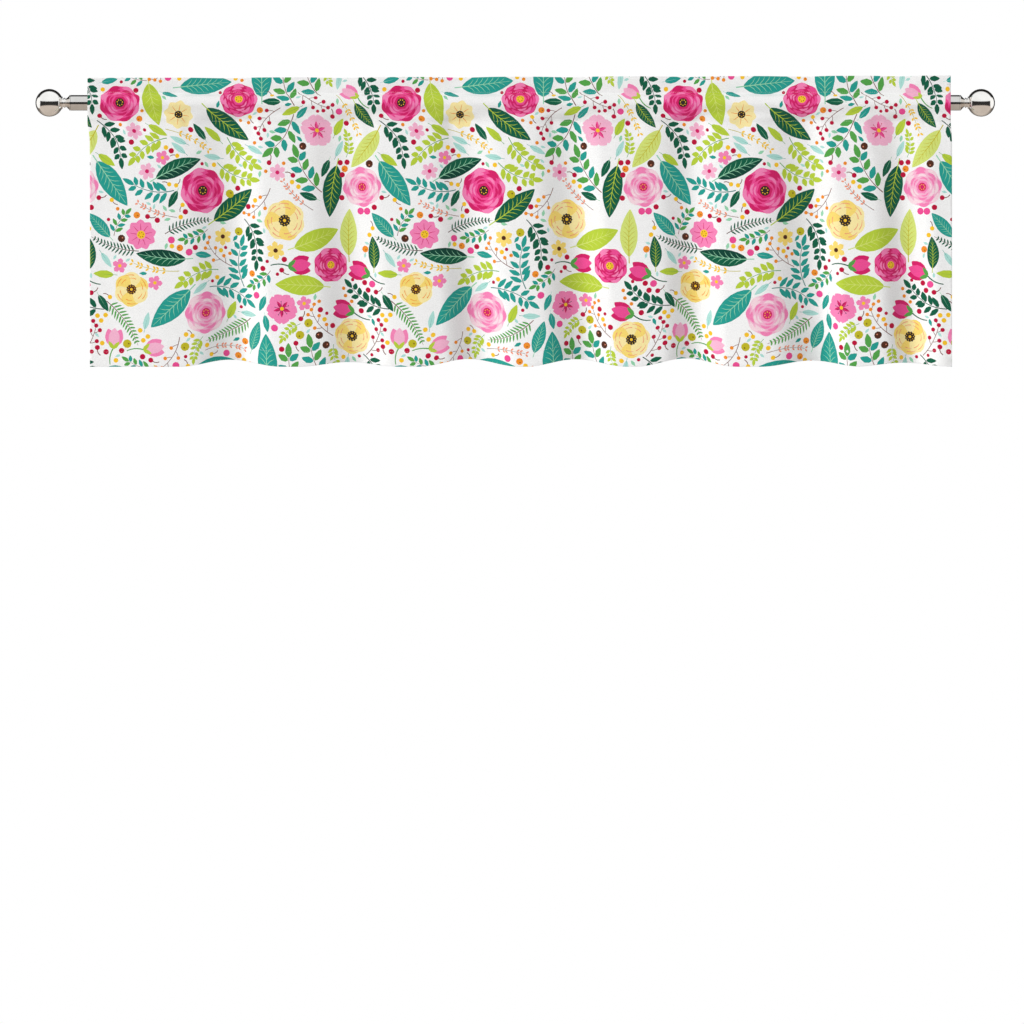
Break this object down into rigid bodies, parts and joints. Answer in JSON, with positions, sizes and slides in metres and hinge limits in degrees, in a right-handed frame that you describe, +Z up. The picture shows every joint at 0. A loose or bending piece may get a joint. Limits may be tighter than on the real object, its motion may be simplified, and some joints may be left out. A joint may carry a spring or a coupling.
{
  "type": "window valance on a curtain rod",
  "caption": "Rod-pocket window valance of floral printed cloth, hanging in loose folds from a round metal curtain rod with ball finials.",
  "frame": {"origin": "on the rod's axis, at the middle of its length", "axes": "+X along the rod to the right as seen from the room, -Y towards the room, +Z up"},
  "size_m": [1.4906, 0.0426, 0.4534],
  "materials": {
    "printed_cloth": "smooth white cloth with a floral print",
    "nickel": "polished nickel plate"
  },
  "bodies": {
    "root": {"cloth": "printed_cloth", "rod": "nickel", "finial_left": "nickel", "finial_right": "nickel"}
  },
  "joints": []
}
